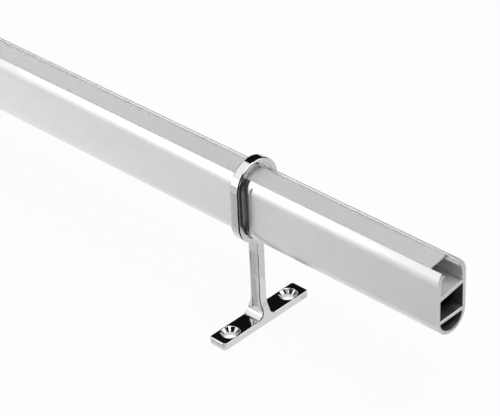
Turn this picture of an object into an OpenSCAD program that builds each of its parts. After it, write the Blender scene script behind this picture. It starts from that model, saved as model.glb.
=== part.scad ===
/* [Rail] */
// Length of the rail, cut to the inside width of the wardrobe
rail_len = 414; // [320:1:1200]
// Width of the oval section
rail_w = 15; // [14:0.5:18]
// Height of the oval section
rail_h = 30; // [29:0.5:40]
// Outer wall of the extrusion
wall_t = 1.4; // [1.2:0.1:1.6]
// Thickness of the lower web
web_t = 1.4; // [1:0.1:2]
// Middle of the lower web above the rail's lowest line
web_z = 7.1; // [5:0.1:9]
// Distance from the bracket's middle to the rail's near end
near_end = 93.2; // [30:0.1:150]

/* [Light channel] */
// Tilt of the channel towards the front of the wardrobe, in degrees
channel_tilt = 8; // [0:0.5:12]
// Wall on each side of the channel
channel_wall_t = 1.8; // [1.6:0.1:2]
// Width of the mouth between the walls of the two lips
mouth_w = 9.2; // [9:0.1:9.6]
// Depth from the crests of the lips down to the ledges
mouth_depth = 1.7; // [1.6:0.05:2.2]
// Depth from the ledges down to the floor that carries the light strip
channel_depth = 8.2; // [7.5:0.05:8.5]
// Thickness of the channel's floor
floor_t = 1.5; // [1:0.1:2]
// Height taken off the sharp crest of each lip
crest_trim = 0.1; // [0.05:0.05:0.2]
// Width of each ledge, from the lip's wall to the ledge's tip
ledge_reach = 1.1; // [0.8:0.05:1.3]
// Thickness of each ledge
ledge_t = 0.7; // [0.5:0.1:1]
// Height of the groove that takes the cover's edge
groove_h = 0.8; // [0.8:0.05:0.95]
// Reach of the nib that keeps the cover in its groove
nib_reach = 0.25; // [0.2:0.05:0.35]
// Height of that nib
nib_h = 0.35; // [0.3:0.05:0.45]
// Gap between the channel's floor and the rib on the far wall
rib_gap = 0.9; // [0.6:0.1:1.2]
// Thickness of that rib
rib_t = 0.6; // [0.4:0.1:0.8]
// Reach of that rib from the wall
rib_reach = 0.5; // [0.3:0.1:0.8]

/* [Cover] */
// Thickness of the diffusing cover
cover_t = 0.6; // [0.4:0.05:0.7]
// Clearance between the cover's edges and the lips' walls
cover_clear = 0.1; // [0.05:0.01:0.15]
// How far the cover stops short of each end of the rail
cover_short = 6; // [0:0.5:15]
// Width of the shallow groove in the cover above each ledge's tip
score_w = 0.4; // [0.2:0.05:0.6]
// Depth of that groove
score_depth = 0.15; // [0.05:0.05:0.25]

/* [Light strip] */
// Length of one cutting unit of the strip
unit_len = 50; // [50:1:100]
// Light chips in one cutting unit
unit_chips = 3; // [3:1:6]
// Bare floor kept at each end of the rail, at least
strip_inset = 20; // [20:1:60]
// Width of the strip's board
board_w = 8; // [6:0.5:8]
// Thickness of the board
board_t = 0.25; // [0.2:0.05:0.4]
// Thickness of the adhesive tape under the board
tape_t = 0.15; // [0.1:0.05:0.3]
// Length of a light chip along the strip
chip_l = 2.8; // [2:0.1:3]
// Width of a light chip across the strip
chip_w = 3.5; // [3:0.1:4]
// Height of a light chip
chip_h = 0.8; // [0.6:0.1:1.2]
// Length of a resistor along the strip
resistor_l = 3.1; // [2:0.1:3.2]
// Width of a resistor across the strip
resistor_w = 1.55; // [1.2:0.05:1.6]
// Height of a resistor
resistor_h = 0.55; // [0.4:0.05:0.7]
// Length of a solder pad along the strip
pad_l = 2; // [1.5:0.1:2.5]
// Width of a solder pad across the strip
pad_w = 1.6; // [1.2:0.1:1.8]
// Height of the tinned pad above the board
pad_h = 0.08; // [0.05:0.01:0.15]

/* [Bracket ring] */
// Length of the ring along the rail
ring_len = 4.3; // [4:0.1:4.8]
// Thickness of the ring's side and top
ring_wall = 2.35; // [2:0.05:3]
// Thickness of the ring under the rail
ring_base = 1.9; // [1.6:0.05:2.4]
// Gap between the ring and each side of the rail
ring_side_gap = 0.9; // [0.5:0.05:1.2]
// Gap between the ring and the top of the full oval
ring_top_gap = 0.5; // [0.3:0.05:1]
// Gap between the ring and the rail's lowest line
ring_seat_gap = 0.3; // [0.3:0.05:0.6]

/* [Bracket stem and foot] */
// Foot's underside to the rail's lowest line
rail_z = 39.6; // [30:0.1:60]
// Width of the stem along the rail
stem_x = 5; // [4.8:0.1:6]
// Thickness of the stem across the rail
stem_y = 3.6; // [3.2:0.1:4.4]
// Radius of the hollow curve that spreads the stem to the foot's width
flare_r = 11; // [8:0.5:14]
// Radius of the hollow curve between the stem's faces and the foot
fillet_r = 3.2; // [2.5:0.1:4]
// Height of the plain block between the panel and the ring
block_h = 5.1; // [3:0.1:8]
// Width of the rim left on each side of the panel
rim_w = 1.15; // [0.8:0.05:1.4]
// Depth of the panel in each face of the stem
panel_depth = 0.8; // [0.4:0.1:1]
// Length of the foot across the rail
foot_l = 46; // [44:0.5:60]
// Width of the foot along the rail
foot_w = 8.3; // [8:0.1:10]
// Thickness of the foot
foot_t = 3; // [2.4:0.1:4]
// Radius of the foot's corners
corner_r = 1.2; // [0.5:0.1:2]
// Distance between the two screw holes
hole_pitch = 32; // [28:0.5:34]
// Diameter of a screw hole
hole_d = 4.4; // [3.5:0.1:4.6]
// Diameter of the countersink at the foot's top
sink_d = 7.6; // [7:0.1:7.8]

/* [Hidden] */
$fn = 96;
overrun = 1;
rail_r = rail_w / 2;
bend_z = rail_h - rail_r;
channel_half = rail_r - channel_wall_t;
crest_v = sqrt(pow(rail_r, 2) - pow(mouth_w / 2, 2));
ledge_v = crest_v - mouth_depth;
floor_v = ledge_v - channel_depth;
cover_len = rail_len - 2 * cover_short;
cover_v = ledge_v + (groove_h - cover_t) / 2;
floor_mid = floor_v * tan(channel_tilt);
units = floor((rail_len - 2 * strip_inset) / unit_len);
strip_len = units * unit_len;
strip_start = near_end - (rail_len + strip_len) / 2;
chip_pitch = unit_len / unit_chips;
board_v = floor_v + tape_t;
board_top = board_v + board_t;
ring_r = rail_r + ring_side_gap;
ring_low = rail_z - ring_seat_gap;
ring_high = rail_z + rail_h + ring_top_gap;
flare_side = (foot_w - stem_x) / 2;
fillet_top = foot_t + fillet_r;
flare_top = fillet_top + sqrt(pow(flare_r, 2) - pow(flare_r - flare_side, 2));
block_low = ring_low - ring_base - block_h;

// A flat outline drawn across the rail, in Y and Z, made solid along X from x_from
module along_rail(x_from, length) {
    translate([x_from, 0, 0]) rotate([90, 0, 90]) linear_extrude(length) children();
}

// An upright oval from low to high, centred on Y = 0
module oval(width, low, high) {
    translate([0, low + width / 2]) circle(d = width);
    translate([0, high - width / 2]) circle(d = width);
    translate([-width / 2, low + width / 2]) square([width, high - low - width]);
}

// The light channel's own axes: its origin is the middle of the rail's upper bend
module channel_axes() {
    translate([0, rail_z + bend_z]) rotate(channel_tilt) children();
}

module full_oval() {
    oval(rail_w, rail_z, rail_z + rail_h);
}

// The part of the section that is inside a wall of the given thickness
module inside(wall) {
    oval(rail_w - 2 * wall, rail_z + wall, rail_z + rail_h - wall);
}

// Everything above the channel's floor
module above_floor() {
    channel_axes() translate([-rail_w, floor_v]) square([2 * rail_w, 2 * rail_w]);
}

// The wall all round, closed at the top before the mouth is cut. It is thicker beside the channel
module outer_wall() {
    difference() {
        full_oval();
        difference() {
            inside(wall_t);
            above_floor();
        }
        intersection() {
            inside(channel_wall_t);
            above_floor();
        }
    }
}

module lower_web() {
    intersection() {
        full_oval();
        translate([-rail_r, rail_z + web_z - web_t / 2]) square([rail_w, web_t]);
    }
}

module channel_floor() {
    intersection() {
        full_oval();
        channel_axes() translate([-rail_w, floor_v - floor_t]) square([2 * rail_w, floor_t]);
    }
}

// The rib on the far wall, just above the floor
module floor_rib() {
    rib_v = floor_v + rib_gap;
    rib_u = (channel_half + rib_v * sin(channel_tilt)) / cos(channel_tilt) - rib_reach;
    intersection() {
        full_oval();
        channel_axes() translate([rib_u, rib_v]) square([rail_w, rib_t]);
    }
}

// Both lips, each solid above its ledge's underside
module lips() {
    intersection() {
        full_oval();
        channel_axes() for (side = [0, 1]) mirror([side, 0])
            translate([mouth_w / 2 - ledge_reach, ledge_v - ledge_t]) square([rail_w, rail_r]);
    }
}

// Half of the mouth's outline above the ledges, from its middle to one lip's wall, stepped in
// round the snap nib that holds the cover's edge down and has a sloping lead-in above
module half_mouth() {
    wall = mouth_w / 2;
    nib_low = ledge_v + groove_h;
    polygon([[0, ledge_v], [wall, ledge_v], [wall, nib_low], [wall - nib_reach, nib_low],
             [wall - nib_reach, nib_low + nib_h / 2], [wall, nib_low + nib_h], [wall, rail_w],
             [0, rail_w]]);
}

// What the mouth takes away: the middle, and the thin edge of each crest
module mouth_cut() {
    channel_axes() {
        for (side = [0, 1]) mirror([side, 0]) half_mouth();
        translate([-rail_w, crest_v - crest_trim]) square([2 * rail_w, rail_w]);
        translate([ledge_reach - mouth_w / 2, floor_v + floor_t])
            square([mouth_w - 2 * ledge_reach, rail_w]);
    }
}

module rail_section() {
    difference() {
        union() {
            outer_wall();
            lips();
        }
        mouth_cut();
    }
    lower_web();
    channel_floor();
    floor_rib();
}

// Anodised aluminium extrusion: two closed cells below, the open light channel above
module rail_profile() {
    color("silver") along_rail(near_end - rail_len, rail_len) rail_section();
}

// Opal cover held in the grooves between the ledges and the nibs. A shallow groove above each
// ledge's tip lets its edges flex when it is snapped in
module diffuser_cover() {
    half = mouth_w / 2 - cover_clear;
    score = mouth_w / 2 - ledge_reach;
    color("gainsboro") along_rail(near_end - rail_len + cover_short, cover_len)
        channel_axes() translate([0, cover_v]) difference() {
            translate([-half, 0]) square([2 * half, cover_t]);
            for (side = [-1, 1]) translate([side * score, cover_t])
                polygon([[-score_w / 2, 0], [0, -score_depth], [score_w / 2, 0]]);
        }
}

// A block of the light strip: along is its middle from the strip's start, across is from the
// strip's centre line, and low is its underside in the channel's axes
module strip_block(along, across, low, size) {
    along_rail(strip_start + along - size[0] / 2, size[0])
        channel_axes() translate([floor_mid + across - size[1] / 2, low]) square([size[1], size[2]]);
}

module adhesive_tape() {
    color("khaki") strip_block(strip_len / 2, 0, floor_v, [strip_len, board_w, tape_t]);
}

module strip_board() {
    color("white") strip_block(strip_len / 2, 0, board_v, [strip_len, board_w, board_t]);
}

module light_chips() {
    color("lightyellow") for (i = [0 : units * unit_chips - 1])
        strip_block((i + 1 / 2) * chip_pitch, 0, board_top, [chip_l, chip_w, chip_h]);
}

// One resistor in each cutting unit, between its first two chips
module strip_resistors() {
    color("dimgray") for (i = [0 : units - 1])
        strip_block(i * unit_len + chip_pitch, 0, board_top, [resistor_l, resistor_w, resistor_h]);
}

// Two tinned pads, plus and minus, on each side of every cut line
module solder_pads() {
    across = board_w / 2 - pad_w;
    color("goldenrod") for (i = [0 : units - 1], end = [0, 1], side = [-1, 1])
        strip_block(i * unit_len + pad_l + end * (unit_len - 2 * pad_l), side * across, board_top,
                    [pad_l, pad_w, pad_h]);
}

module ring() {
    along_rail(-ring_len / 2, ring_len) difference() {
        oval(2 * (ring_r + ring_wall), ring_low - ring_base, ring_high + ring_wall);
        oval(2 * ring_r, ring_low, ring_high);
    }
}

// The stem seen across the rail, in X and Z: straight above, spread to the foot's width below.
// A rim takes that much off each side, for the panel
module stem_front(rim, low, high) {
    half = foot_w / 2 - rim;
    straight = stem_x / 2 - rim;
    difference() {
        translate([-half, low]) square([2 * half, high - low]);
        for (side = [0, 1]) mirror([side, 0]) {
            translate([stem_x / 2 + flare_r, flare_top]) circle(r = flare_r + rim);
            translate([straight, flare_top]) square([foot_w, high]);
        }
    }
}

// The stem seen along the rail, in Y and Z, with the hollow curves down to the foot
module stem_side(high) {
    reach = stem_y / 2 + fillet_r;
    translate([-stem_y / 2, foot_t / 2]) square([stem_y, high - foot_t / 2]);
    difference() {
        translate([-reach, foot_t / 2]) square([2 * reach, fillet_top - foot_t / 2]);
        for (side = [-1, 1]) translate([side * reach, fillet_top]) circle(r = fillet_r);
    }
}

module stem() {
    top = ring_low - ring_base / 2;
    difference() {
        intersection() {
            rotate([90, 0, 0]) linear_extrude(foot_l, center = true) stem_front(0, foot_t / 2, top);
            along_rail(-foot_w / 2, foot_w) stem_side(top);
        }
        for (side = [-1, 1]) translate([0, side * stem_y / 2, 0])
            rotate([90, 0, 0]) linear_extrude(2 * panel_depth, center = true)
                stem_front(rim_w, fillet_top, block_low);
    }
}

module foot_plate() {
    for (trim = [0, corner_r])
        translate([trim - foot_w / 2, corner_r - trim - foot_l / 2])
            square([foot_w - 2 * trim, foot_l - 2 * (corner_r - trim)]);
    for (x = [-1, 1], y = [-1, 1])
        translate([x * (foot_w / 2 - corner_r), y * (foot_l / 2 - corner_r)]) circle(r = corner_r);
}

// A screw hole with a square countersink, open to both faces of the foot
module screw_hole() {
    sink_depth = (sink_d - hole_d) / 2;
    translate([0, 0, -overrun]) cylinder(d = hole_d, h = foot_t + 2 * overrun);
    translate([0, 0, foot_t - sink_depth]) cylinder(d1 = hole_d, d2 = sink_d, h = sink_depth);
    translate([0, 0, foot_t]) cylinder(d = sink_d, h = overrun);
}

// Chromed zinc die casting in one piece: ring, stem and foot
module centre_bracket() {
    color("gray") {
        ring();
        stem();
        difference() {
            linear_extrude(foot_t) foot_plate();
            for (side = [-1, 1]) translate([0, side * hole_pitch / 2, 0]) screw_hole();
        }
    }
}

rail_profile();
diffuser_cover();
centre_bracket();
strip_board();
light_chips();
strip_resistors();
solder_pads();
adhesive_tape();
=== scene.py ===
import math
import bmesh
import bpy
import numpy as np
from mathutils import Matrix, Vector
from mathutils.geometry import tessellate_polygon


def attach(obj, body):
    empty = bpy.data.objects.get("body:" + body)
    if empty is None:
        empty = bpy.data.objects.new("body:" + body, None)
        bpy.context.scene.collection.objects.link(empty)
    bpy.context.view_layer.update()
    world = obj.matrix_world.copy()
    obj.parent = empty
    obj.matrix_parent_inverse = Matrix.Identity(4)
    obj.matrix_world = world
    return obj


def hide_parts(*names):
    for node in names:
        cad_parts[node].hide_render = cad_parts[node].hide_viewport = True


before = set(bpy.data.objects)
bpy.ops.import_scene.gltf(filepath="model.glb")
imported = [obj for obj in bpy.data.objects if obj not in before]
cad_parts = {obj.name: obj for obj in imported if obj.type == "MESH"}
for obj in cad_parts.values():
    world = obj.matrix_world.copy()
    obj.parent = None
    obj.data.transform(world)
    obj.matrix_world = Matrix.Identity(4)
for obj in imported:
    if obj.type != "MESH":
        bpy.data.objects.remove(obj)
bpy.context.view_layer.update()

# ---------------------------------------------------------------- camera
# A long lens from the front right and above, as in the photograph. It was fitted with its origin
# at the rail's near end, low on the bar, so the fit's origin is given here in millimetres.
MM = 0.001
FIT_ORIGIN, FIT_AIM = Vector((93.2, 0, 39.6)), Vector((0, 0, 15))
PHOTO_WIDTH_PX, PHOTO_HEIGHT_PX, SENSOR_MM = 500, 416, 36
turn, tilt, roll = math.radians(45.0), math.radians(33.8), math.radians(-2.57)
focal_px, aim_px, distance = 2270.61, (452.02, 297.24), 776.06
forward = Vector((-math.sin(turn) * math.cos(tilt), math.cos(turn) * math.cos(tilt),
                  -math.sin(tilt)))
level = Vector((math.cos(turn), math.sin(turn), 0))
upward = level.cross(forward)
right = level * math.cos(roll) + upward * math.sin(roll)
up = upward * math.cos(roll) - level * math.sin(roll)
eye = (FIT_AIM + FIT_ORIGIN - forward * distance
       - right * (aim_px[0] - PHOTO_WIDTH_PX / 2) / focal_px * distance
       + up * (aim_px[1] - PHOTO_HEIGHT_PX / 2) / focal_px * distance)
lens = bpy.data.cameras.new("camera")
lens.sensor_fit, lens.sensor_width = "HORIZONTAL", SENSOR_MM
lens.lens = focal_px / PHOTO_WIDTH_PX * SENSOR_MM
lens.clip_start, lens.clip_end = 0.05, 50
camera = bpy.data.objects.new("camera", lens)
camera.matrix_world = (Matrix.Translation(eye * MM)
                       @ Matrix((right, up, -forward)).transposed().to_4x4())
bpy.context.scene.collection.objects.link(camera)
bpy.context.scene.camera = camera
bpy.context.scene.view_settings.view_transform = "Standard"

# ---------------------------------------------------------------- studio
# A white floor with a trace of shadow, in a room that is dark to all but the camera, apart from
# two pale parts of its walls. Five soft boxes light it. Metal also sees a few cards, five of them
# laid on the floor and two stood up beside the bracket.


def add_node(tree, kind, values=None, **settings):
    """A new node, with its settings first and then a value or a link for each socket."""
    node = tree.nodes.new(kind)
    for name, value in settings.items():
        setattr(node, name, value)
    for name, value in (values or {}).items():
        if isinstance(value, bpy.types.NodeSocket):
            tree.links.new(value, node.inputs[name])
        else:
            node.inputs[name].default_value = value
    return node


def maths(tree, operation, *values):
    """The result of a sum on numbers."""
    return add_node(tree, "ShaderNodeMath", dict(enumerate(values)), operation=operation).outputs[0]


def smooth_ramp(tree, value, low, high, start=0.0, end=1.0):
    """A number that goes smoothly from start to end while the given one goes from low to high."""
    return add_node(tree, "ShaderNodeMapRange", {
        "Value": value, "From Min": low, "From Max": high, "To Min": start, "To Max": end},
        interpolation_type="SMOOTHSTEP").outputs[0]


def new_material(name):
    """An empty material and its tree."""
    material = bpy.data.materials.new(name)
    material.use_nodes = True
    material.node_tree.nodes.clear()
    return material, material.node_tree


# The camera sees the floor as almost pure white, with a little of its real shading near the
# object. Metal sees it slightly darker, and from below it is clear.
FLOOR_REACH, FLOOR_DROP, FLOOR_GREY, DARKER_TO_METAL = 6, 0.02, 0.9, 0.14
NEAR_WHITE, FAR_WHITE, FADE_FROM, FADE_TO = 0.93, 1.0, 0.5, 2.5
floor_mesh = bpy.data.meshes.new("floor")
floor_mesh.from_pydata([(x * FLOOR_REACH, y * FLOOR_REACH, 0)
                        for x, y in ((-1, -1), (1, -1), (1, 1), (-1, 1))], [], [(0, 1, 2, 3)])
floor = bpy.data.objects.new("floor", floor_mesh)
floor.location.z = -FLOOR_DROP * MM
bpy.context.scene.collection.objects.link(floor)
floor_paint, tree = new_material("floor_paint")
paint = add_node(tree, "ShaderNodeBsdfDiffuse", {"Color": (FLOOR_GREY, FLOOR_GREY, FLOOR_GREY, 1)})
rays = add_node(tree, "ShaderNodeLightPath").outputs
strength = maths(tree, "MULTIPLY_ADD", rays["Is Glossy Ray"], -DARKER_TO_METAL, 1.0)
glow = add_node(tree, "ShaderNodeEmission", {"Color": (1, 1, 1, 1), "Strength": strength})
seen = maths(tree, "ADD", rays["Is Camera Ray"], rays["Is Transmission Ray"])
spot = add_node(tree, "ShaderNodeTexCoord").outputs["Object"]
away = add_node(tree, "ShaderNodeVectorMath", {0: spot}, operation="LENGTH").outputs["Value"]
white = smooth_ramp(tree, away, FADE_FROM, FADE_TO, NEAR_WHITE, FAR_WHITE)
share = maths(tree, "MULTIPLY_ADD", seen, white, rays["Is Glossy Ray"])
mixed = add_node(tree, "ShaderNodeMixShader", {0: share, 1: paint.outputs[0], 2: glow.outputs[0]})
below = add_node(tree, "ShaderNodeNewGeometry").outputs["Backfacing"]
clear = add_node(tree, "ShaderNodeBsdfTransparent")
mixed = add_node(tree, "ShaderNodeMixShader", {0: below, 1: mixed.outputs[0], 2: clear.outputs[0]})
add_node(tree, "ShaderNodeOutputMaterial", {"Surface": mixed.outputs[0]})
floor_mesh.materials.append(floor_paint)

# The room's walls, by direction: a pale band low down on the left, from the front to a little way
# back, a taller pale part on the right behind, and near black elsewhere.
WALL_GREY = 0.008
world = bpy.data.worlds.new("room")
bpy.context.scene.world = world
world.use_nodes = True
tree = world.node_tree
tree.nodes.clear()
direction = add_node(tree, "ShaderNodeTexCoord").outputs["Generated"]
to_right, to_back, to_top = add_node(tree, "ShaderNodeSeparateXYZ", {0: direction}).outputs
low_left = maths(tree, "MULTIPLY", smooth_ramp(tree, to_top, 0.02, 0.1, 1, 0),
                 smooth_ramp(tree, to_back, 0.3, 0.5, 1, 0))
low_left = maths(tree, "MULTIPLY", low_left, smooth_ramp(tree, to_right, -0.2, 0.0, 1, 0))
right_behind = maths(tree, "MULTIPLY", smooth_ramp(tree, to_right, 0.3, 0.4),
                     smooth_ramp(tree, to_back, 0.1, 0.2))
right_behind = maths(tree, "MULTIPLY", right_behind, smooth_ramp(tree, to_top, 0.3, 0.45, 1, 0))
pale = maths(tree, "MAXIMUM", low_left, right_behind)
shade = add_node(tree, "ShaderNodeMapRange", {"Value": pale, "To Min": WALL_GREY, "To Max": 1.0})
to_camera = add_node(tree, "ShaderNodeLightPath").outputs["Is Camera Ray"]
strength = maths(tree, "MAXIMUM", shade.outputs[0], to_camera)
sky = add_node(tree, "ShaderNodeBackground", {"Color": (1, 1, 1, 1), "Strength": strength})
add_node(tree, "ShaderNodeOutputWorld", {"Surface": sky.outputs[0]})


def card(name, corners, left_grey, right_grey):
    """A card that only metal sees, given by its corners in millimetres, its grey running from
    left to right along X."""
    mesh = bpy.data.meshes.new(name)
    mesh.from_pydata([Vector(p) * MM for p in corners], [], [(0, 1, 2, 3)])
    sheet = bpy.data.objects.new(name, mesh)
    bpy.context.scene.collection.objects.link(sheet)
    sheet.visible_camera = sheet.visible_diffuse = False
    sheet.visible_shadow = sheet.visible_transmission = False
    paint, tree = new_material(name + "_paint")
    spot = add_node(tree, "ShaderNodeTexCoord").outputs["Object"]
    spot = add_node(tree, "ShaderNodeSeparateXYZ", {0: spot})
    grey = add_node(tree, "ShaderNodeMapRange", {
        "Value": spot.outputs["X"], "From Min": min(p[0] for p in corners) * MM,
        "From Max": max(p[0] for p in corners) * MM, "To Min": left_grey,
        "To Max": right_grey}).outputs[0]
    glow = add_node(tree, "ShaderNodeEmission", {"Color": (1, 1, 1, 1), "Strength": grey})
    add_node(tree, "ShaderNodeOutputMaterial", {"Surface": glow.outputs[0]})
    mesh.materials.append(paint)


# Three strips of card along the rail, which its side mirrors: grey in front with a dark edge,
# and white under the rail.
STRIPS_LEFT, STRIPS_RIGHT = -330, 60
for name, front, back, height, left_grey, right_grey in (
        ("grey_card", -84, -24, 0.1, 1.32, 0.64), ("card_edge", -92, -84, 0.2, 0.25, 0.1),
        ("white_card", -24, 20, 0.1, 1.1, 1.0)):
    card(name, ((STRIPS_LEFT, front, height), (STRIPS_RIGHT, front, height),
                (STRIPS_RIGHT, back, height), (STRIPS_LEFT, back, height)), left_grey, right_grey)

# Two slanting strips on the floor, for the ring's flank and the stem's panel alone, and two dark
# cards on edge close to the bracket, which give its bevels their dark lines.
card("ring_grey_card", ((-36.6, -45, 0.3), (-71.6, -80, 0.3), (-67, -80, 0.3), (-32, -45, 0.3)),
     0.57, 0.57)
card("stem_grey_card", ((-4, -3.9, 0.3), (-34.5, -34.4, 0.3), (-31.5, -34.4, 0.3),
                        (-1, -3.9, 0.3)), 0.58, 0.58)
card("ring_black_card", ((1.85, -11.75, 20), (5.45, -8.15, 20), (5.45, -8.15, 66),
                         (1.85, -11.75, 66)), 0.01, 0.01)
card("stem_black_card", ((2.8, -5.2, 3.4), (6.0, -2.0, 3.4), (6.0, -2.0, 30), (2.8, -5.2, 30)),
     0.1, 0.1)


def soft_box(name, way, distance, long_way, length, width, watts, aim=(-0.03, 0, 0.05)):
    """A rectangular soft box, placed in metres along a way from its aim, with its long side
    along long_way."""
    back, along = Vector(way).normalized(), Vector(long_way)
    along = (along - back * along.dot(back)).normalized()
    lamp = bpy.data.lights.new(name, "AREA")
    lamp.shape, lamp.size, lamp.size_y, lamp.energy = "RECTANGLE", length, width, watts
    box = bpy.data.objects.new(name, lamp)
    box.matrix_world = Matrix.Translation(Vector(aim) + back * distance) @ Matrix(
        (along, back.cross(along), back)).transposed().to_4x4()
    box.visible_camera = False
    bpy.context.scene.collection.objects.link(box)


soft_box("key_soft_box", way=(-0.588, -0.487, 0.646), distance=1.2, long_way=(0, 0.8, 0.6),
         length=2.3, width=0.58, watts=5.5)
soft_box("low_soft_box", way=(-0.72, -0.66, 0.2), distance=0.75, long_way=(1, -1, 0),
         length=0.5, width=0.3, watts=0.45)
soft_box("back_soft_box", way=(0.55, 0.6, 0.58), distance=1.2, long_way=(1, -1, 0),
         length=0.8, width=0.8, watts=3.2)
soft_box("top_soft_box", way=(0.25, -0.1, 1.0), distance=1.2, long_way=(1, 0, 0),
         length=0.9, width=1.2, watts=10.8)
soft_box("far_end_soft_box", way=(-0.588, 0.411, 0.697), distance=0.7, long_way=(1, 1, 0),
         length=0.24, width=0.24, watts=0.3, aim=(-0.28, 0, 0.07))

# ---------------------------------------------------------------- rail
# An aluminium extrusion with two closed cells and a tilted, open light channel on top. It is
# extruded, etched to a satin, anodised, and sawn square at both ends.
RAIL_ENDS, RAIL_R, CELL_R, BEND_HIGH, BEND_LOW = (-320.8, 93.2), 7.5, 6.1, 62.1, 47.1
WEB_TOP, WEB_BELOW_BEND = 47.4, 1.1
CHANNEL_TILT, CHANNEL_R, CHANNEL_DEPTH, FLOOR_T = math.radians(8), 5.7, 8.2, 1.5
MOUTH_HALF, MOUTH_DEPTH, CREST_TRIM, CREST_OUT = 4.6, 1.7, 0.1, 4.726
LEDGE_TIP, LEDGE_T, GROOVE_H, NIB_REACH, NIB_H = 3.5, 0.7, 0.8, 0.25, 0.35
RIB_GAP, RIB_T, RIB_REACH = 0.9, 0.6, 0.5
BEND_STEPS, LIP_STEPS, CHANNEL_STEPS, CELL_STEPS = 64, 28, 16, 48
CREST_V = math.sqrt(RAIL_R ** 2 - MOUTH_HALF ** 2) - CREST_TRIM
LEDGE_V = CREST_V + CREST_TRIM - MOUTH_DEPTH
FLOOR_V = LEDGE_V - CHANNEL_DEPTH
RIB_LOW, RIB_HIGH = FLOOR_V + RIB_GAP, FLOOR_V + RIB_GAP + RIB_T


def channel_point(u, v):
    """A point given in the light channel's tilted axes, as (y, z)."""
    return (u * math.cos(CHANNEL_TILT) - v * math.sin(CHANNEL_TILT),
            BEND_HIGH + u * math.sin(CHANNEL_TILT) + v * math.cos(CHANNEL_TILT))


def floor_z(y, v):
    """Height at y of a line that lies at v in the tilted axes."""
    u = (y + v * math.sin(CHANNEL_TILT)) / math.cos(CHANNEL_TILT)
    return channel_point(u, v)[1]


def arc(centre, radius, start, end, steps):
    """Points on an arc, with angles in degrees from +Y towards +Z."""
    angles = [math.radians(start + (end - start) * i / steps) for i in range(steps + 1)]
    return [(centre[0] + radius * math.cos(a), centre[1] + radius * math.sin(a)) for a in angles]


def soften(points, radius, steps=4, least_turn=math.radians(14), most_of_side=0.45):
    """A closed outline with each sharp corner rounded to the radius."""
    made = []
    for i, point in enumerate(points):
        here, before = Vector(point), Vector(points[i - 1])
        after = Vector(points[(i + 1) % len(points)])
        a, b = before - here, after - here
        corner = math.pi - a.angle(b)
        if corner < least_turn:
            made.append(here)
            continue
        reach = min(radius * math.tan(corner / 2), most_of_side * a.length, most_of_side * b.length)
        start, end = here + a.normalized() * reach, here + b.normalized() * reach
        for n in range(steps + 1):
            t = n / steps
            made.append(start * (1 - t) ** 2 + here * 2 * t * (1 - t) + end * t * t)
    return made


def inward_of(points):
    """For each point of an outline whose solid lies on its left, the way into the solid, long
    enough that each side moves in by one, and never more than twice that."""
    ways = []
    for i, here in enumerate(points):
        a = (here - points[i - 1]).normalized()
        b = (points[(i + 1) % len(points)] - here).normalized()
        side_a, side_b = Vector((-a.y, a.x)), Vector((-b.y, b.x))
        both = (side_a + side_b).normalized()
        ways.append(both / max(both.dot(side_a), 0.5))
    return ways


def section_mesh(name, loops):
    """A flat section across X from closed outlines, outer first with the solid on its left."""
    outlines = [[Vector((0, p[0], p[1])) for p in loop] for loop in loops]
    mesh = bpy.data.meshes.new(name)
    mesh.from_pydata([p * MM for loop in outlines for p in loop], [], tessellate_polygon(outlines))
    way = mesh.attributes.new("inward", "FLOAT_VECTOR", "POINT")
    ways = [w for loop in loops for w in inward_of(loop)]
    way.data.foreach_set("vector", [x for w in ways for x in (0, w.x, w.y)])
    return bpy.data.objects.new(name, mesh)


def add_sockets(tree, in_out, **kinds):
    """Named sockets on the outside of a node group, in the order given."""
    for name, kind in kinds.items():
        tree.interface.new_socket(name.replace("_", " "), in_out=in_out,
                                  socket_type="NodeSocket" + kind)


def live(sockets, name):
    """The socket of that name that a node uses with its present settings."""
    return [s for s in sockets if s.enabled and s.name == name][0]


def vector_maths(tree, operation, *values):
    """The result of a sum on vectors."""
    return add_node(tree, "ShaderNodeVectorMath", dict(enumerate(values)),
                    operation=operation).outputs[0]


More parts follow.
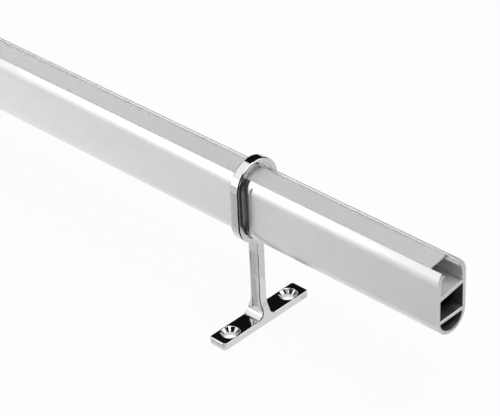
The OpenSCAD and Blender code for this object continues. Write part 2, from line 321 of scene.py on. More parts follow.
def extrusion_tree():
    """Geometry Nodes: a flat section becomes a bar along X, its ends very slightly broken."""
    tree = bpy.data.node_groups.new("extrusion", "GeometryNodeTree")
    add_sockets(tree, "INPUT", Section="Geometry", Start="Float", Length="Float",
                Broken_edge="Float", Drawn_faces="Material", Sawn_faces="Material")
    add_sockets(tree, "OUTPUT", Bar="Geometry")
    given = add_node(tree, "NodeGroupInput").outputs
    way = add_node(tree, "GeometryNodeInputNamedAttribute", {"Name": "inward"},
                   data_type="FLOAT_VECTOR")
    inset = add_node(tree, "ShaderNodeVectorMath", {
        0: live(way.outputs, "Attribute"), "Scale": given["Broken edge"]},
        operation="SCALE").outputs[0]
    outset = add_node(tree, "ShaderNodeVectorMath", {0: inset, "Scale": -1.0},
                      operation="SCALE").outputs[0]
    begin = add_node(tree, "ShaderNodeCombineXYZ", {"X": given["Start"]}).outputs[0]
    cap = add_node(tree, "GeometryNodeSetPosition", {
        "Geometry": given["Section"], "Offset": vector_maths(tree, "ADD", begin, inset)}).outputs[0]
    both_ends = maths(tree, "MULTIPLY", given["Broken edge"], 2.0)
    plain = maths(tree, "SUBTRACT", given["Length"], both_ends)
    bar, top = cap, None
    for reach, shift in ((given["Broken edge"], outset), (plain, None),
                         (given["Broken edge"], inset)):
        step = add_node(tree, "ShaderNodeCombineXYZ", {"X": reach})
        grow = add_node(tree, "GeometryNodeExtrudeMesh", {
            "Mesh": bar, "Offset": step.outputs[0], "Offset Scale": 1.0, "Individual": False},
            mode="FACES")
        if top is not None:
            tree.links.new(top, grow.inputs["Selection"])
        bar, top = grow.outputs["Mesh"], grow.outputs["Top"]
        if shift is not None:
            bar = add_node(tree, "GeometryNodeSetPosition",
                           {"Geometry": bar, "Selection": top, "Offset": shift}).outputs[0]
    walls = add_node(tree, "GeometryNodeSetMaterial",
                     {"Geometry": bar, "Material": given["Drawn faces"]}).outputs[0]
    walls = add_node(tree, "GeometryNodeSetMaterial", {
        "Geometry": walls, "Selection": top, "Material": given["Sawn faces"]}).outputs[0]
    back = add_node(tree, "GeometryNodeFlipFaces", {"Mesh": cap}).outputs[0]
    back = add_node(tree, "GeometryNodeSetMaterial",
                    {"Geometry": back, "Material": given["Sawn faces"]}).outputs[0]
    joined = add_node(tree, "GeometryNodeJoinGeometry")
    tree.links.new(walls, joined.inputs[0])
    tree.links.new(back, joined.inputs[0])
    welded = add_node(tree, "GeometryNodeMergeByDistance",
                      {"Geometry": joined.outputs[0], "Distance": 0.001 * MM})
    add_node(tree, "NodeGroupOutput", {"Bar": welded.outputs[0]})
    return tree


def run_tree(name, start, tree, **inputs):
    """A plain mesh object made by a Geometry Nodes tree from a starting object."""
    bpy.context.scene.collection.objects.link(start)
    nodes = start.modifiers.new("nodes", "NODES")
    nodes.node_group = tree
    sockets = {s.name: s.identifier for s in tree.interface.items_tree if s.in_out == "INPUT"}
    for key, value in inputs.items():
        nodes[sockets[key.replace("_", " ")]] = value
    view = bpy.context.evaluated_depsgraph_get()
    mesh = bpy.data.meshes.new_from_object(
        start.evaluated_get(view), preserve_all_data_layers=False, depsgraph=view)
    bpy.data.objects.remove(start)
    mesh.name = name
    piece = bpy.data.objects.new(name, mesh)
    bpy.context.scene.collection.objects.link(piece)
    return piece


def finish_shading(piece, sharp=math.radians(35)):
    """Smooth curved faces, crisp edges, and flat faces that stay flat beside rounded corners."""
    shape = bmesh.new()
    shape.from_mesh(piece.data)
    bmesh.ops.recalc_face_normals(shape, faces=shape.faces)
    shape.to_mesh(piece.data)
    shape.free()
    piece.data.shade_smooth()
    piece.data.set_sharp_from_angle(angle=sharp)
    weighted = piece.modifiers.new("flat faces", "WEIGHTED_NORMAL")
    weighted.weight, weighted.keep_sharp = 100, True


def mouth_side():
    """The outline from one lip's crest down to the channel's inner wall, on the +U side."""
    nib_low, nib_mid, nib_top = (LEDGE_V + GROOVE_H + NIB_H * share for share in (0, 0.5, 1))
    return [(CREST_OUT, CREST_V), (MOUTH_HALF, CREST_V), (MOUTH_HALF, nib_top),
            (MOUTH_HALF - NIB_REACH, nib_mid), (MOUTH_HALF - NIB_REACH, nib_low),
            (MOUTH_HALF, nib_low), (MOUTH_HALF, LEDGE_V), (LEDGE_TIP, LEDGE_V),
            (LEDGE_TIP, LEDGE_V - LEDGE_T)]


lip_angle = math.degrees(math.atan2(CREST_V, CREST_OUT))
ledge_angle = math.degrees(math.asin((LEDGE_V - LEDGE_T) / CHANNEL_R))
tilt_deg = math.degrees(CHANNEL_TILT)
bend, low_bend = (0, BEND_HIGH), (0, BEND_LOW)
rib_tip = (CHANNEL_R + RIB_LOW * math.sin(CHANNEL_TILT)) / math.cos(CHANNEL_TILT) - RIB_REACH
outer = arc(low_bend, RAIL_R, 180, 360, BEND_STEPS)
outer += arc(bend, RAIL_R, 0, lip_angle + tilt_deg, LIP_STEPS)[:-1]
outer += [channel_point(u, v) for u, v in mouth_side()]
outer += arc(bend, CHANNEL_R, ledge_angle + tilt_deg, 0, CHANNEL_STEPS)
outer += [(CHANNEL_R, floor_z(CHANNEL_R, RIB_HIGH)), channel_point(rib_tip, RIB_HIGH),
          channel_point(rib_tip, RIB_LOW), (CHANNEL_R, floor_z(CHANNEL_R, RIB_LOW)),
          (CHANNEL_R, floor_z(CHANNEL_R, FLOOR_V)), (-CHANNEL_R, floor_z(-CHANNEL_R, FLOOR_V))]
outer += arc(bend, CHANNEL_R, 180, 180 - ledge_angle + tilt_deg, CHANNEL_STEPS)
outer += [channel_point(-u, v) for u, v in reversed(mouth_side())]
outer += arc(bend, RAIL_R, 180 - lip_angle + tilt_deg, 180, LIP_STEPS)[1:]
upper_cell = [(-CELL_R, WEB_TOP), (-CELL_R, floor_z(-CELL_R, FLOOR_V - FLOOR_T)),
              (CELL_R, floor_z(CELL_R, FLOOR_V - FLOOR_T)), (CELL_R, WEB_TOP)]
lower_edge = math.degrees(math.asin(WEB_BELOW_BEND / CELL_R))
lower_cell = arc(low_bend, CELL_R, 360 - lower_edge, 180 + lower_edge, CELL_STEPS)


def drawn_lines_group(line_stretch=(0.012, 1, 1), mottle_stretch=(0.4, 1, 1), mottle_scale=160.0):
    """Fine lines left along X by the extrusion die, and the soft mottle of the etch."""
    tree = bpy.data.node_groups.new("drawn_lines", "ShaderNodeTree")
    add_sockets(tree, "INPUT", Place="Vector", Line_pitch="Float")
    add_sockets(tree, "OUTPUT", Lines="Float", Mottle="Float")
    given = add_node(tree, "NodeGroupInput").outputs
    lines = add_node(tree, "ShaderNodeTexNoise", {
        "Vector": vector_maths(tree, "MULTIPLY", given["Place"], line_stretch),
        "Scale": maths(tree, "DIVIDE", 1.0, given["Line pitch"]), "Detail": 2.0, "Roughness": 0.6})
    mottle = add_node(tree, "ShaderNodeTexNoise", {
        "Vector": vector_maths(tree, "MULTIPLY", given["Place"], mottle_stretch),
        "Scale": mottle_scale, "Detail": 3.0})
    add_node(tree, "NodeGroupOutput", {"Lines": lines.outputs[0], "Mottle": mottle.outputs[0]})
    return tree


def etched_grain_group():
    """The very fine, even grain of an etched or blasted face."""
    tree = bpy.data.node_groups.new("etched_grain", "ShaderNodeTree")
    add_sockets(tree, "INPUT", Place="Vector", Grain_size="Float")
    add_sockets(tree, "OUTPUT", Grain="Float")
    given = add_node(tree, "NodeGroupInput").outputs
    grain = add_node(tree, "ShaderNodeTexNoise", {
        "Vector": given["Place"], "Scale": maths(tree, "DIVIDE", 1.0, given["Grain size"]),
        "Detail": 3.0, "Roughness": 0.7})
    add_node(tree, "NodeGroupOutput", {"Grain": grain.outputs[0]})
    return tree


drawn_lines, etched_grain = drawn_lines_group(), etched_grain_group()


def lines_of(tree, place, pitch):
    """The drawn lines and the mottle in a material, for a pitch in millimetres."""
    return add_node(tree, "ShaderNodeGroup", {"Place": place, "Line pitch": pitch * MM},
                    node_tree=drawn_lines).outputs


def grain_of(tree, place, size):
    """The etched grain in a material, for a size in millimetres."""
    return add_node(tree, "ShaderNodeGroup", {"Place": place, "Grain size": size * MM},
                    node_tree=etched_grain).outputs[0]


def between(tree, value, low, high, low_in=0.3, high_in=0.7):
    """A value stretched to run from low to high."""
    return add_node(tree, "ShaderNodeMapRange", {
        "Value": value, "From Min": low_in, "From Max": high_in, "To Min": low,
        "To Max": high}).outputs[0]


def tint(tree, value, dark, light):
    """Two colours mixed by a value from 0 to 1."""
    mix = add_node(tree, "ShaderNodeMix", data_type="RGBA")
    tree.links.new(value, mix.inputs["Factor"])
    colours = [s for s in mix.inputs if s.type == "RGBA"]
    colours[0].default_value, colours[1].default_value = (*dark, 1), (*light, 1)
    return [s for s in mix.outputs if s.type == "RGBA"][0]


def surface(tree, colour, roughness, height, relief, depth, more=None):
    """The material's surface, with a fine relief whose depth is in millimetres."""
    bump = add_node(tree, "ShaderNodeBump",
                    {"Height": height, "Strength": relief, "Distance": depth * MM})
    shader = add_node(tree, "ShaderNodeBsdfPrincipled", {
        "Base Color": colour, "Roughness": roughness, "Normal": bump.outputs[0], **(more or {})})
    add_node(tree, "ShaderNodeOutputMaterial", {"Surface": shader.outputs[0]})


# The drawn lines run along X, so they spread a reflection round the bar and leave it clear along
# it. The roughness stays above 0.28, where the denoiser leaves no scratches in it.
SATIN_DARK, SATIN_LIGHT, SATIN_ROUGH = (0.715, 0.715, 0.72), (0.745, 0.745, 0.75), (0.28, 0.295)
aluminium, tree = new_material("satin_anodised_aluminium")
place = add_node(tree, "ShaderNodeTexCoord").outputs["Object"]
lines, grain = lines_of(tree, place, 0.25), grain_of(tree, place, 0.12)
facing = add_node(tree, "ShaderNodeTexCoord").outputs["Normal"]
round_bar = vector_maths(tree, "CROSS_PRODUCT", facing, (1, 0, 0))
round_bar = add_node(tree, "ShaderNodeVectorTransform", {0: round_bar}, vector_type="VECTOR",
                     convert_from="OBJECT", convert_to="WORLD")
surface(tree, tint(tree, between(tree, lines["Mottle"], 0, 1), SATIN_DARK, SATIN_LIGHT),
        roughness=between(tree, lines["Lines"], *SATIN_ROUGH),
        height=maths(tree, "ADD", lines["Lines"], grain), relief=0.02, depth=0.1,
        more={"Metallic": 1.0, "Anisotropic": 0.85, "Tangent": round_bar.outputs[0]})

# A saw leaves close marks straight across the end.
SAWN_DARK, SAWN_LIGHT, SAWN_ROUGH = (0.56, 0.56, 0.565), (0.68, 0.68, 0.685), (0.34, 0.46)
SAW_STRETCH, SAW_SCALE = (1, 0.02, 1), 5500.0
sawn, tree = new_material("sawn_aluminium")
place = add_node(tree, "ShaderNodeTexCoord").outputs["Object"]
marks = add_node(tree, "ShaderNodeTexNoise", {
    "Vector": vector_maths(tree, "MULTIPLY", place, SAW_STRETCH), "Scale": SAW_SCALE,
    "Detail": 2.0}).outputs[0]
surface(tree, tint(tree, between(tree, marks, 0, 1), SAWN_DARK, SAWN_LIGHT),
        roughness=between(tree, marks, *SAWN_ROUGH), height=marks, relief=0.25, depth=0.05,
        more={"Metallic": 1.0})


def inner_finish(name, dark, light, metal, rough):
    """The duller finish of the faces inside the bar, with coarser drawn lines, in the colours
    given; inside the cells those colours are dark with painted shade.
    """
    material, tree = new_material(name)
    place = add_node(tree, "ShaderNodeTexCoord").outputs["Object"]
    lines = lines_of(tree, place, 0.4)
    surface(tree, tint(tree, between(tree, lines["Mottle"], 0, 1), dark, light),
            roughness=between(tree, lines["Mottle"], *rough), height=lines["Lines"], relief=0.15,
            depth=0.1, more={"Metallic": metal})
    return material


# Inside the closed cells the aluminium is given a very dark colour, which is painted shade for the
# unlit cells, over a rougher finish.
cell_shade_paint = inner_finish("aluminium_with_painted_cell_shade", (0.16, 0.16, 0.165), (0.3, 0.3, 0.305), metal=1.0,
                       rough=(0.5, 0.65))
channel_finish = inner_finish("aluminium_in_the_channel", (0.64, 0.64, 0.645), (0.7, 0.7, 0.705),
                              metal=0.45, rough=(0.45, 0.55))
OUTER_CORNER_R, CELL_CORNER_R, BROKEN_EDGE = 0.16, 0.35, 0.16
END_FACE, INSIDE_MARGIN, MOUTH_MARGIN = 0.5, 0.4, 0.1
extrusion = extrusion_tree()
rail = run_tree("rail_extrusion", section_mesh("rail_section", [
    soften(outer, OUTER_CORNER_R), soften(upper_cell, CELL_CORNER_R),
    soften(lower_cell, CELL_CORNER_R)]), extrusion,
    Start=RAIL_ENDS[0] * MM, Length=(RAIL_ENDS[1] - RAIL_ENDS[0]) * MM,
    Broken_edge=BROKEN_EDGE * MM, Drawn_faces=aluminium, Sawn_faces=sawn)
rail.data.materials.append(cell_shade_paint)
rail.data.materials.append(channel_finish)
in_channel = len(rail.data.materials) - 1
in_cells = in_channel - 1
# Faces inside the cells take the dark aluminium with painted shade, and faces low in the channel
# take the duller channel finish.
for face in rail.data.polygons:
    y, z = face.center.y / MM, face.center.z / MM
    from_core = math.hypot(y, z - min(max(z, BEND_LOW), BEND_HIGH))
    if abs(face.normal.x) < END_FACE and from_core < CELL_R + INSIDE_MARGIN:
        if z < floor_z(y, FLOOR_V - FLOOR_T / 2):
            face.material_index = in_cells
        elif z < floor_z(y, LEDGE_V - MOUTH_MARGIN):
            face.material_index = in_channel
finish_shading(rail)
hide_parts("rail_profile")
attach(rail, "rail")

# ---------------------------------------------------------------- cover
# A translucent plastic strip, extruded, that snaps between the ledges and the nibs of the mouth.
# It stops 6 mm short of the rail's ends, and a shallow groove over each ledge lets it flex.
COVER_ENDS, COVER_HALF, COVER_T, COVER_CLEAR = (-314.8, 87.2), 4.5, 0.6, 0.1
COVER_CORNER_R, COVER_BROKEN_EDGE = 0.08, 0.03
GROOVE_MIDDLE, GROOVE_HALF, GROOVE_DEPTH = 3.5, 0.2, 0.15
OPAL_DARK, OPAL_LIGHT, OPAL_ROUGH = (0.91, 0.91, 0.915), (0.94, 0.94, 0.945), (0.295, 0.305)
COVER_LOW = LEDGE_V + COVER_CLEAR
COVER_TOP = COVER_LOW + COVER_T
half_top = [(COVER_HALF, COVER_TOP), (GROOVE_MIDDLE + GROOVE_HALF, COVER_TOP),
            (GROOVE_MIDDLE, COVER_TOP - GROOVE_DEPTH), (GROOVE_MIDDLE - GROOVE_HALF, COVER_TOP)]
cover_outline = [(-COVER_HALF, COVER_LOW), (COVER_HALF, COVER_LOW), *half_top,
                 *((-u, v) for u, v in reversed(half_top))]
opal, tree = new_material("opal_plastic")
place = add_node(tree, "ShaderNodeTexCoord").outputs["Object"]
lines = lines_of(tree, place, 0.3)
surface(tree, tint(tree, between(tree, lines["Mottle"], 0, 1), OPAL_DARK, OPAL_LIGHT),
        roughness=between(tree, lines["Lines"], *OPAL_ROUGH), height=grain_of(tree, place, 0.1),
        relief=0.08, depth=0.05, more={"Transmission Weight": 0.4, "IOR": 1.49})
cover = run_tree("cover_strip", section_mesh("cover_section", [
    soften([Vector(channel_point(*p)) for p in cover_outline], COVER_CORNER_R)]), extrusion,
    Start=COVER_ENDS[0] * MM, Length=(COVER_ENDS[1] - COVER_ENDS[0]) * MM,
    Broken_edge=COVER_BROKEN_EDGE * MM, Drawn_faces=opal, Sawn_faces=opal)
finish_shading(cover)
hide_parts("diffuser_cover")
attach(cover, "cover")

# ---------------------------------------------------------------- light strip
# A flexible strip stuck on the channel's floor: a thin board with a white mask over its copper,
# and seven cutting units, each with three light chips, a resistor and tinned pads at its ends.
UNITS, UNIT_L, UNIT_CHIPS, STRIP_START = 7, 50.0, 3, -288.8
STRIP_HALF, TAPE_T, BOARD_T, LAYER_CORNER_R, LAYER_BROKEN_EDGE = 4.0, 0.15, 0.25, 0.04, 0.01
STRIP_U = FLOOR_V * math.tan(CHANNEL_TILT)
STRIP_END, BOARD_TOP = STRIP_START + UNITS * UNIT_L, FLOOR_V + TAPE_T + BOARD_T
strip_y, strip_z = channel_point(STRIP_U, BOARD_TOP)


def strip_layer(name, low, high, paint, node):
    """A layer of the strip, as long as the strip, between two heights in the channel's axes."""
    outline = [Vector(channel_point(STRIP_U + u, v)) for u, v in (
        (-STRIP_HALF, low), (STRIP_HALF, low), (STRIP_HALF, high), (-STRIP_HALF, high))]
    piece = run_tree(name, section_mesh(name, [soften(outline, LAYER_CORNER_R)]), extrusion,
                     Start=STRIP_START * MM, Length=(STRIP_END - STRIP_START) * MM,
                     Broken_edge=LAYER_BROKEN_EDGE * MM, Drawn_faces=paint, Sawn_faces=paint)
    finish_shading(piece)
    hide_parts(node)
    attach(piece, "rail")


TAPE_DARK, TAPE_LIGHT, TAPE_ROUGH = (0.42, 0.30, 0.17), (0.56, 0.42, 0.25), (0.55, 0.75)
tape, tree = new_material("tan_tape")
place = add_node(tree, "ShaderNodeTexCoord").outputs["Object"]
fibre = add_node(tree, "ShaderNodeTexNoise",
                 {"Vector": place, "Scale": 1400.0, "Detail": 3.0}).outputs[0]
surface(tree, tint(tree, between(tree, fibre, 0, 1), TAPE_DARK, TAPE_LIGHT),
        roughness=between(tree, fibre, *TAPE_ROUGH), height=fibre, relief=0.2, depth=0.05)
strip_layer("tape_layer", FLOOR_V, FLOOR_V + TAPE_T, tape, "adhesive_tape")

# Copper runs stand slightly proud under the mask: one along each side, and a bar at each cut.
SIDE_RUN_MIDDLE, SIDE_RUN_HALF, MIDDLE_RUN_HALF, CUT_BAR_HALF, RUN_RISE = 2.9, 0.55, 0.6, 0.25, 0.7
MASK_PLAIN, MASK_RAISED, MASK_ROUGH = (0.80, 0.80, 0.78), (0.70, 0.69, 0.65), (0.32, 0.42)
mask, tree = new_material("white_solder_mask")
place = add_node(tree, "ShaderNodeTexCoord").outputs["Object"]
turned = add_node(tree, "ShaderNodeMapping", {
    "Vector": place, "Location": (STRIP_START * MM, strip_y * MM, strip_z * MM),
    "Rotation": (CHANNEL_TILT, 0, 0)}, vector_type="TEXTURE").outputs[0]
along, across, _ = add_node(tree, "ShaderNodeSeparateXYZ", {0: turned}).outputs
across = maths(tree, "ABSOLUTE", across)
side_run = maths(tree, "COMPARE", across, SIDE_RUN_MIDDLE * MM, SIDE_RUN_HALF * MM)
in_unit = maths(tree, "PINGPONG", along, UNIT_L * MM)
cut_bar = maths(tree, "LESS_THAN", in_unit, CUT_BAR_HALF * MM)
middle_run = maths(tree, "LESS_THAN", across, MIDDLE_RUN_HALF * MM)
runs = maths(tree, "SUBTRACT", maths(tree, "MAXIMUM", side_run, middle_run), cut_bar)
grain = grain_of(tree, place, 0.2)
rise = maths(tree, "MULTIPLY_ADD", runs, RUN_RISE, grain)
surface(tree, tint(tree, between(tree, rise, 0, 1, high_in=0.7 + RUN_RISE), MASK_PLAIN,
                   MASK_RAISED),
        roughness=between(tree, grain, *MASK_ROUGH), height=rise, relief=0.3, depth=0.04)
strip_layer("strip_layer", FLOOR_V + TAPE_T, BOARD_TOP, mask, "strip_board")

# The small parts are lofts, whose faces are numbered by what they are: body, top or ends.
BODY, TOP, ENDS = range(3)


def stacked(outline_size, corner, levels, centre=(0, 0)):
    """Rings of a rounded rectangle, each level a height, a reach inward and the number of the
    faces from it up; the last level closes the top."""
    half_x, half_y = outline_size[0] / 2, outline_size[1] / 2
    outline = soften([Vector(p) for p in ((-half_x, -half_y), (half_x, -half_y), (half_x, half_y),
                                          (-half_x, half_y))], corner, steps=1)
    count, points, faces, parts = len(outline), [], [], []
    for z, reach, _ in levels:
        points += [(centre[0] + p.x * (1 - reach / half_x),
                    centre[1] + p.y * (1 - reach / half_y), z) for p in outline]
    for i, (_, _, part) in enumerate(levels[:-1]):
        for n in range(count):
            low, high, after = i * count, (i + 1) * count, (n + 1) % count
            faces.append((low + n, low + after, high + after, high + n))
            parts.append(part)
    faces += [tuple(reversed(range(count))), tuple(len(points) - count + n for n in range(count))]
    return points, faces, parts + [levels[0][2], levels[-1][2]]


def one_of(name, *lofts):
    """One small part for a row, made of lofts."""
    points, faces, parts = [], [], []
    for more_points, more_faces, more_parts in lofts:
        faces += [tuple(i + len(points) for i in face) for face in more_faces]
        points += more_points
        parts += more_parts
    mesh = bpy.data.meshes.new(name)
    mesh.from_pydata([Vector(p) * MM for p in points], [], faces)
    mesh.attributes.new("part", "INT", "FACE").data.foreach_set("value", parts)
    return bpy.data.objects.new(name, mesh)


def row_tree():
    """Geometry Nodes: a small part repeated in one or two straight rows along X, then laid in
    the channel."""
    tree = bpy.data.node_groups.new("row", "GeometryNodeTree")
    add_sockets(tree, "INPUT", Part="Geometry", Count="Int", First="Float", Pitch="Float",
                Pair_gap="Float", Tilt="Float", Low_Y="Float", Low_Z="Float",
                Body="Material", Top="Material", Ends="Material")
    add_sockets(tree, "OUTPUT", Row="Geometry")
    given = add_node(tree, "NodeGroupInput").outputs
    sides = add_node(tree, "GeometryNodeJoinGeometry")
    for share in (0.5, -0.5):
        gap = maths(tree, "MULTIPLY", given["Pair gap"], share)
        begin = add_node(tree, "ShaderNodeCombineXYZ", {"X": given["First"], "Y": gap})
        pitch = add_node(tree, "ShaderNodeCombineXYZ", {"X": given["Pitch"]})
        line = add_node(tree, "GeometryNodeMeshLine", {
            "Count": given["Count"], "Start Location": begin.outputs[0],
            "Offset": pitch.outputs[0]})
        tree.links.new(line.outputs[0], sides.inputs[0])
    once = add_node(tree, "GeometryNodeMergeByDistance",
                    {"Geometry": sides.outputs[0], "Distance": 0.001 * MM})
    placed = add_node(tree, "GeometryNodeInstanceOnPoints",
                      {"Points": once.outputs[0], "Instance": given["Part"]})
    row = add_node(tree, "GeometryNodeRealizeInstances", {"Geometry": placed.outputs[0]})
    turn = add_node(tree, "ShaderNodeCombineXYZ", {"X": given["Tilt"]})
    low = add_node(tree, "ShaderNodeCombineXYZ", {"Y": given["Low Y"], "Z": given["Low Z"]})
    out = add_node(tree, "GeometryNodeTransform", {
        "Geometry": row.outputs[0], "Translation": low.outputs[0],
        "Rotation": turn.outputs[0]}).outputs[0]
    part = add_node(tree, "GeometryNodeInputNamedAttribute", {"Name": "part"}, data_type="INT")
    for number, name in ((BODY, "Body"), (TOP, "Top"), (ENDS, "Ends")):
        same = add_node(tree, "FunctionNodeCompare", data_type="INT", operation="EQUAL")
        tree.links.new(live(part.outputs, "Attribute"), live(same.inputs, "A"))
        live(same.inputs, "B").default_value = number
        out = add_node(tree, "GeometryNodeSetMaterial", {
            "Geometry": out, "Selection": same.outputs[0], "Material": given[name]}).outputs[0]
    add_node(tree, "NodeGroupOutput", {"Row": out})
    return tree


def speckled(name, dark, light, rough, metal=0.0, size=0.1, relief=0.15):
    """A small part's finish: two close colours and two roughnesses over a fine grain."""
    material, tree = new_material(name)
    grain = grain_of(tree, add_node(tree, "ShaderNodeTexCoord").outputs["Object"], size)
    surface(tree, tint(tree, between(tree, grain, 0, 1), dark, light),
            roughness=between(tree, grain, *rough), height=grain, relief=relief, depth=0.03,
            more={"Metallic": metal})
    return material


tinned = speckled("tinned_ends", (0.52, 0.51, 0.50), (0.66, 0.65, 0.63), (0.3, 0.4), metal=1.0)
housing = speckled("white_chip_housing", (0.74, 0.74, 0.72), (0.82, 0.82, 0.80), (0.35, 0.5))
phosphor = speckled("yellow_phosphor", (0.80, 0.52, 0.06), (0.88, 0.64, 0.12), (0.18, 0.25),
                    size=0.06)
ceramic = speckled("resistor_ceramic", (0.60, 0.58, 0.55), (0.72, 0.70, 0.67), (0.5, 0.7))
black_glaze = speckled("resistor_black_glaze", (0.012, 0.012, 0.013), (0.03, 0.03, 0.032),
                       (0.3, 0.45))
tinned_pad = speckled("tinned_pad", (0.56, 0.54, 0.50), (0.70, 0.67, 0.62), (0.3, 0.4), metal=1.0,
                      size=0.25, relief=0.4)

# A chip is a white housing with a shallow well of phosphor and a foot at each side. A resistor
# is a ceramic block with a glazed top and two tinned ends. A pad is a low dome of solder.
chip = one_of("chip", stacked((2.8, 3.1), 0.2, (
    (0, 0, BODY), (0.72, 0.05, BODY), (0.8, 0.13, BODY), (0.8, 0.42, BODY), (0.66, 0.56, TOP),
    (0.7, 0.9, TOP))), *(stacked((1.7, 0.5), 0.08, (
        (0, 0, ENDS), (0.22, 0, ENDS), (0.27, 0.05, ENDS)), (0, side * 1.5)) for side in (-1, 1)))
resistor = one_of("resistor", stacked((2.2, 1.5), 0.06, (
    (0.03, 0, BODY), (0.42, 0, BODY), (0.45, 0.03, BODY), (0.46, 0.12, TOP), (0.5, 0.18, TOP),
    (0.505, 0.4, TOP))), *(stacked((0.55, 1.55), 0.1, (
        (0, 0.02, ENDS), (0.05, 0, ENDS), (0.47, 0, ENDS), (0.55, 0.1, ENDS)), (side * 1.275, 0))
        for side in (-1, 1)))
pad = one_of("pad", stacked((2.0, 1.6), 0.3, (
    (0, 0, BODY), (0.05, 0.03, BODY), (0.07, 0.14, BODY), (0.08, 0.4, BODY))))
CHIP_PITCH, PAD_TO_CUT, PAD_PAIR_GAP = UNIT_L / UNIT_CHIPS, 2.0, 4.8
row = row_tree()
for name, part, node, slot, count, first, pitch, gap, paints in (
        ("chip_row", chip, "light_chips", "chip_yellow", UNITS * UNIT_CHIPS, CHIP_PITCH / 2,
         CHIP_PITCH, 0, (housing, phosphor, tinned)),
        ("resistor_row", resistor, "strip_resistors", "resistor_black", UNITS, CHIP_PITCH, UNIT_L,
         0, (ceramic, black_glaze, tinned)),
        ("left_pad_row", pad, None, "tinned_copper", UNITS, PAD_TO_CUT, UNIT_L, PAD_PAIR_GAP,
         (tinned_pad,) * 3),
        ("right_pad_row", pad.copy(), "solder_pads", "tinned_copper", UNITS, UNIT_L - PAD_TO_CUT,
         UNIT_L, PAD_PAIR_GAP, (tinned_pad,) * 3)):
    piece = run_tree(name, part, row, Count=count, First=(STRIP_START + first) * MM,
                     Pitch=pitch * MM, Pair_gap=gap * MM, Tilt=CHANNEL_TILT, Low_Y=strip_y * MM,
                     Low_Z=strip_z * MM, Body=paints[BODY], Top=paints[TOP], Ends=paints[ENDS])
    finish_shading(piece)
    if node:
        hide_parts(node)
    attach(piece, "rail")

# ---------------------------------------------------------------- bracket
# One zinc die casting, polished and bright chrome plated: a ring, a stem with a sunk panel on
# both faces, and a foot with two countersunk screw holes. Each edge and hollow has its own
# radius, so the solid is written as the distance from its skin.
RING_HALF, RING_R, RING_WALL, RING_BASE = 2.15, 8.4, 2.35, 1.9
RING_LOW, RING_HIGH, RING_EDGE_R, BORE_EDGE_R, NECK_R = 39.3, 70.1, 0.6, 0.3, 1.0
STEM_X, STEM_Y, FLARE_R, FILLET_R = 5.0, 3.6, 11.0, 3.2
STEM_EDGE_R, FLARE_EDGE_R, STEM_TOP_R = 0.45, 0.3, 0.4
FOOT_L, FOOT_W, FOOT_T, CORNER_R, SOLE_EDGE_R = 46.0, 8.3, 3.0, 1.2, 0.2
HOLE_PITCH, HOLE_R, SINK_R, SINK_EDGE_R, HOLE_RIM_R = 32.0, 2.2, 3.8, 0.12, 0.15
PANEL_HALF, PANEL_Y, PANEL_LOW, PANEL_TO_RING = 1.5, 1.6, 3.9, 5.1
PANEL_TOP = RING_LOW - RING_BASE - PANEL_TO_RING
PANEL_CORNER_R, PANEL_FLOOR_R, PANEL_RIM_R = 0.3, 0.1, 0.15
FLARE_TOP = (FOOT_T + FILLET_R
             + math.sqrt(FLARE_R ** 2 - (FLARE_R - (FOOT_W - STEM_X) / 2) ** 2))


def rounded_cut(a, b, radius):
    """Distance to what two solids share, the edge between them rounded."""
    edge = np.hypot(np.maximum(radius + a, 0), np.maximum(radius + b, 0))
    return np.minimum(-radius, np.maximum(a, b)) + edge


def rounded_join(a, b, radius):
    """Distance to two solids joined, with a hollow curve between them."""
    hollow = np.hypot(np.maximum(radius - a, 0), np.maximum(radius - b, 0))
    return np.maximum(radius, np.minimum(a, b)) - hollow


def upright_oval(y, z, half, low, high):
    """Distance to an upright oval with round ends, between two heights."""
    return np.hypot(y, z - np.clip(z, low + half, high - half)) - half


def casting(x, y, z):
    """Distance in millimetres from the bracket's skin, less than zero inside."""
    x, y = np.abs(x), np.abs(y)
    side = rounded_join(y - STEM_Y / 2, z - FOOT_T, FILLET_R)
    out_x, out_y = x - FOOT_W / 2 + CORNER_R, y - FOOT_L / 2 + CORNER_R
    plan = (np.hypot(np.maximum(out_x, 0), np.maximum(out_y, 0))
            + np.minimum(np.maximum(out_x, out_y), 0) - CORNER_R)
    flare = np.where(z > FLARE_TOP, x - STEM_X / 2,
                     FLARE_R - np.hypot(x - STEM_X / 2 - FLARE_R, z - FLARE_TOP))
    body = rounded_cut(side, rounded_cut(plan, flare, FLARE_EDGE_R), STEM_EDGE_R)
    body = rounded_cut(body, z - RING_LOW + RING_BASE / 2, STEM_TOP_R)
    hollow = -rounded_join(y - PANEL_Y, z - PANEL_LOW, FILLET_R)
    panel = rounded_cut(rounded_cut(x - PANEL_HALF, z - PANEL_TOP, PANEL_CORNER_R), hollow,
                        PANEL_FLOOR_R)
    body = rounded_cut(body, -panel, PANEL_RIM_R)
    disc = upright_oval(y, z, RING_R + RING_WALL, RING_LOW - RING_BASE, RING_HIGH + RING_WALL)
    body = rounded_join(body, rounded_cut(disc, x - RING_HALF, RING_EDGE_R), NECK_R)
    body = rounded_cut(body, -upright_oval(y, z, RING_R, RING_LOW, RING_HIGH), BORE_EDGE_R)
    from_hole = np.hypot(x, y - HOLE_PITCH / 2)
    sink = (from_hole - SINK_R - z + FOOT_T) / math.sqrt(2)
    hole = np.minimum(rounded_cut(HOLE_R - from_hole, -sink, SINK_EDGE_R), FOOT_T + 1 - z)
    body = rounded_cut(body, hole, HOLE_RIM_R)
    return rounded_cut(body, -z, SOLE_EDGE_R)


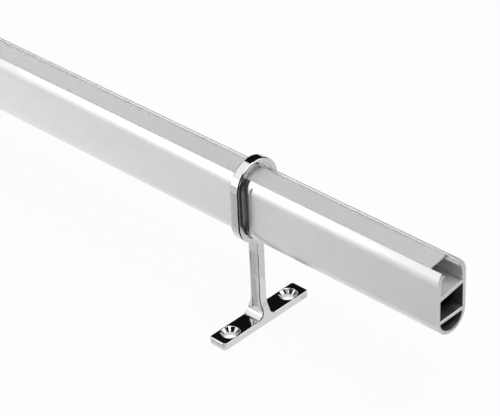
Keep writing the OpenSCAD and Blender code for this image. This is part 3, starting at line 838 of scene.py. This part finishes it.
def skin_mesh(name, solid, low, high, step, before=1.37, after=2, pulls=4, least_slope=0.25):
    """A closed mesh on the skin of a solid, with the true normal at every point. Each cell that
    the skin passes through gives a point, which is then pulled onto the skin. The grid starts an
    odd part of a step before the solid, so that no flat face lies on it."""
    sides = [np.arange(low[i] - step * before, high[i] + step * after, step) for i in range(3)]
    far = solid(*np.meshgrid(*sides, indexing="ij", sparse=True))
    inside = far < 0
    corners = [(i, j, k) for i in (0, 1) for j in (0, 1) for k in (0, 1)]
    size = [n - 1 for n in far.shape]

    def corner_of(values, c):
        """The value at one corner of every cell."""
        return values[c[0]:c[0] + size[0], c[1]:c[1] + size[1], c[2]:c[2] + size[2]]

    full = sum(corner_of(inside, c).astype(np.int8) for c in corners)
    cells = np.argwhere((full > 0) & (full < 8))
    number = np.full(size, -1)
    number[tuple(cells.T)] = np.arange(len(cells))
    points, hits = np.zeros(cells.shape), np.zeros(len(cells))
    for a in corners:
        for axis in range(3):
            if a[axis]:
                continue
            b = tuple(1 if i == axis else a[i] for i in range(3))
            here, there = far[tuple((cells + a).T)], far[tuple((cells + b).T)]
            crossed = (here < 0) != (there < 0)
            part = np.where(crossed, here / np.where(crossed, here - there, 1), 0)
            spot = np.tile(np.array(a, float), (len(cells), 1))
            spot[:, axis] = part
            points += spot * crossed[:, None]
            hits += crossed
    points = (cells + points / hits[:, None]) * step + np.array([s[0] for s in sides])

    def slope(at, little=0.004):
        """The way out of the solid at some points."""
        return np.stack([(solid(*(at + shift).T) - solid(*(at - shift).T)) / (2 * little)
                         for shift in np.eye(3) * little], axis=1)

    for _ in range(pulls):
        way = slope(points)
        points -= way * (solid(*points.T) / np.maximum((way ** 2).sum(1), least_slope))[:, None]
    way = slope(points)
    way /= np.linalg.norm(way, axis=1)[:, None]
    quads = []
    for axis in range(3):
        b, c = np.eye(3, dtype=int)[(axis + 1) % 3], np.eye(3, dtype=int)[(axis + 2) % 3]
        step_on = np.diff(inside.astype(np.int8), axis=axis)
        for sense in (-1, 1):
            at = np.argwhere(step_on == sense)
            ring = np.stack([number[tuple((at - shift).T)] for shift in (0 * b, b, b + c, c)],
                            axis=1)
            quads.append(ring if sense == -1 else ring[:, ::-1])
    mesh = bpy.data.meshes.new(name)
    mesh.from_pydata((points * MM).tolist(), [], np.concatenate(quads).tolist())
    mesh.shade_smooth()
    mesh.normals_split_custom_set_from_vertices(way.tolist())
    return mesh


SKIN_STEP = 0.22
mesh = skin_mesh("bracket_casting", casting, (-FOOT_W / 2, -FOOT_L / 2, 0),
                 (FOOT_W / 2, FOOT_L / 2, RING_HIGH + RING_WALL), SKIN_STEP)
bracket = bpy.data.objects.new("bracket_casting", mesh)
bpy.context.scene.collection.objects.link(bracket)

# Plating follows the polisher's slight waves, with a finer unevenness of its own on top.
CHROME_DARK, CHROME_LIGHT, CHROME_ROUGH = (0.60, 0.605, 0.61), (0.64, 0.645, 0.65), (0.04, 0.09)
chrome, tree = new_material("bright_chrome_plating")
place = add_node(tree, "ShaderNodeTexCoord").outputs["Object"]
waves, haze, peel = (add_node(tree, "ShaderNodeTexNoise", {
    "Vector": place, "Scale": scale, "Detail": detail}).outputs[0]
    for scale, detail in ((260.0, 1.0), (900.0, 3.0), (2200.0, 2.0)))
surface(tree, tint(tree, between(tree, haze, 0, 1), CHROME_DARK, CHROME_LIGHT),
        roughness=between(tree, haze, *CHROME_ROUGH),
        height=maths(tree, "MULTIPLY_ADD", peel, 0.5, waves), relief=0.2, depth=0.1,
        more={"Metallic": 1.0})
mesh.materials.append(chrome)
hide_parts("centre_bracket")
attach(bracket, "bracket")
